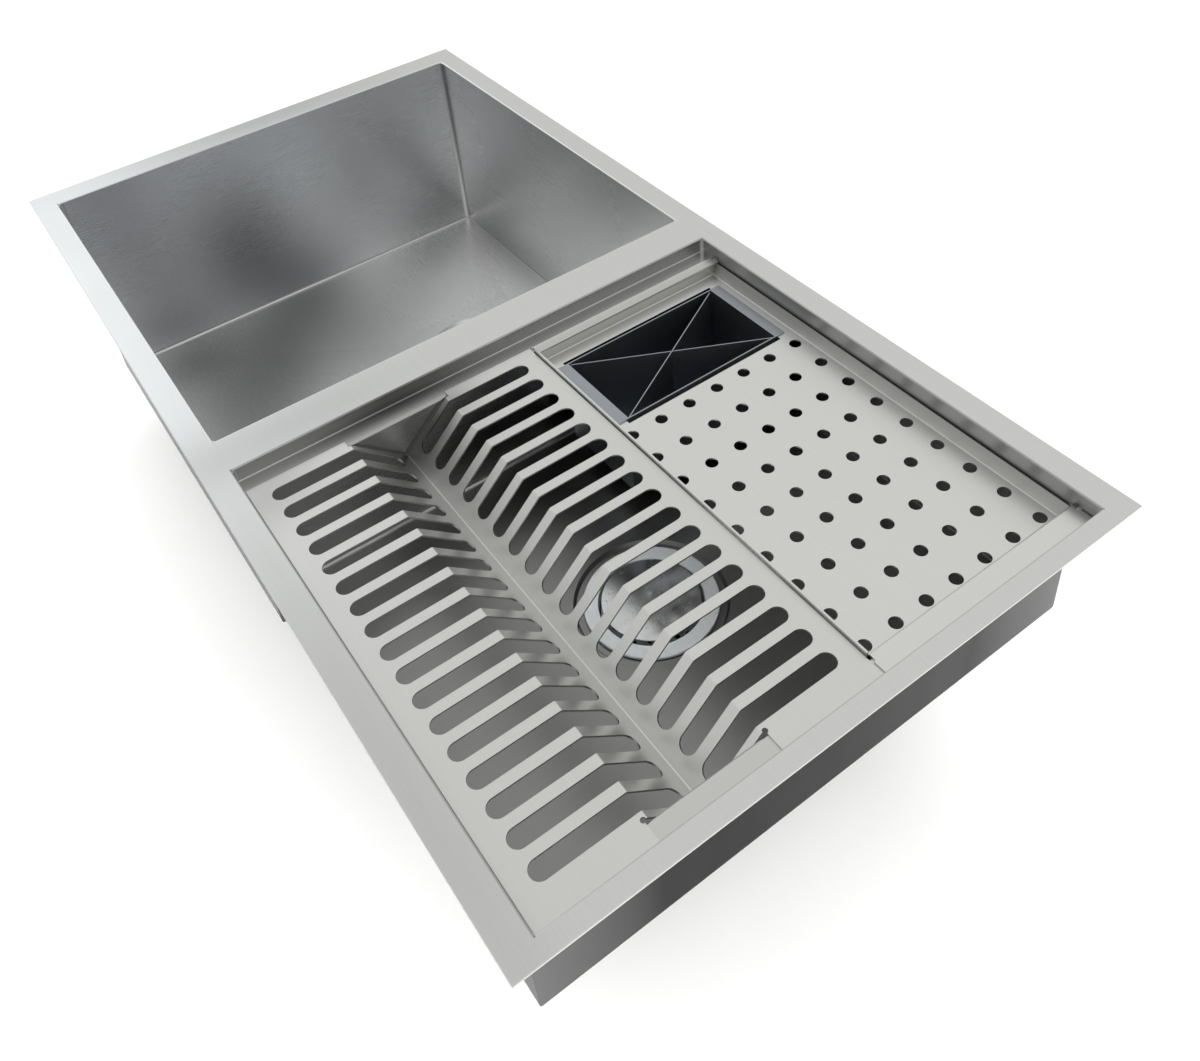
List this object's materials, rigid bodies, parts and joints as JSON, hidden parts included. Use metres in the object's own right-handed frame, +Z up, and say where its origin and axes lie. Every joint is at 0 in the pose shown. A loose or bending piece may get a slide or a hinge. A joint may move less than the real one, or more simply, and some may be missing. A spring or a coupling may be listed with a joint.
{
  "type": "kitchen sink",
  "caption": "Double kitchen sink of folded sheet: a deep bowl, and a shallow channel bowl with a lift-out slotted plate rack, holed drying tray and cutlery box.",
  "frame": {"origin": "middle of the flange's outline, on its underside, where it lies on the worktop", "axes": "+X along the sink from the deep bowl to the channel bowl, +Y from front to rear, +Z up"},
  "size_m": [0.85, 0.443, 0.262],
  "materials": {
    "deck_steel": "brushed",
    "bowl_steel": "brushed",
    "insert_steel": "brushed",
    "box_steel": "brushed",
    "ring_steel": "polished",
    "cap_steel": "polished",
    "nut_metal": "plated",
    "rubber": "matte",
    "fibre": "matte"
  },
  "bodies": {
    "sink": {"deck_flange": "deck_steel", "main_bowl_shell": "bowl_steel", "main_bowl_end_outer": "bowl_steel", "main_bowl_end_divider": "bowl_steel", "channel_bowl_shell": "bowl_steel", "channel_end_divider": "bowl_steel", "channel_end_outer": "bowl_steel", "main_drain_strainer_body": "ring_steel", "main_drain_flange_gasket": "rubber", "main_drain_under_gasket": "rubber", "main_drain_friction_washer": "fibre", "main_drain_lock_nut": "nut_metal", "channel_drain_strainer_body": "ring_steel", "channel_drain_flange_gasket": "rubber", "channel_drain_under_gasket": "rubber", "channel_drain_friction_washer": "fibre", "channel_drain_lock_nut": "nut_metal"},
    "rack": {"plate_rack": "insert_steel"},
    "tray": {"drying_tray": "insert_steel"},
    "cutlery": {"cutlery_box": "box_steel", "cutlery_divider_a": "box_steel", "cutlery_divider_b": "box_steel"},
    "main_basket": {"main_drain_basket": "ring_steel", "main_drain_basket_seal": "rubber", "main_drain_basket_stem": "ring_steel"},
    "main_cap": {"main_drain_cap": "cap_steel"},
    "channel_basket": {"channel_drain_basket": "ring_steel", "channel_drain_basket_seal": "rubber", "channel_drain_basket_stem": "ring_steel"},
    "channel_cap": {"channel_drain_cap": "cap_steel"}
  },
  "joints": [
    {"name": "rack_lift", "type": "slide", "parent": "sink", "child": "rack", "axis": [0, 0, 1], "range_m": [0, 0.06]},
    {"name": "tray_lift", "type": "slide", "parent": "sink", "child": "tray", "axis": [0, 0, 1], "range_m": [0, 0.1]},
    {"name": "cutlery_lift", "type": "slide", "parent": "tray", "child": "cutlery", "axis": [0, 0, 1], "range_m": [0, 0.085]},
    {"name": "main_basket_lift", "type": "slide", "parent": "sink", "child": "main_basket", "axis": [0, 0, 1], "range_m": [0, 0.04]},
    {"name": "main_cap_lift", "type": "slide", "parent": "main_basket", "child": "main_cap", "axis": [0, 0, 1], "range_m": [0, 0.025]},
    {"name": "channel_basket_lift", "type": "slide", "parent": "sink", "child": "channel_basket", "axis": [0, 0, 1], "range_m": [0, 0.04]},
    {"name": "channel_cap_lift", "type": "slide", "parent": "channel_basket", "child": "channel_cap", "axis": [0, 0, 1], "range_m": [0, 0.025]}
  ]
}
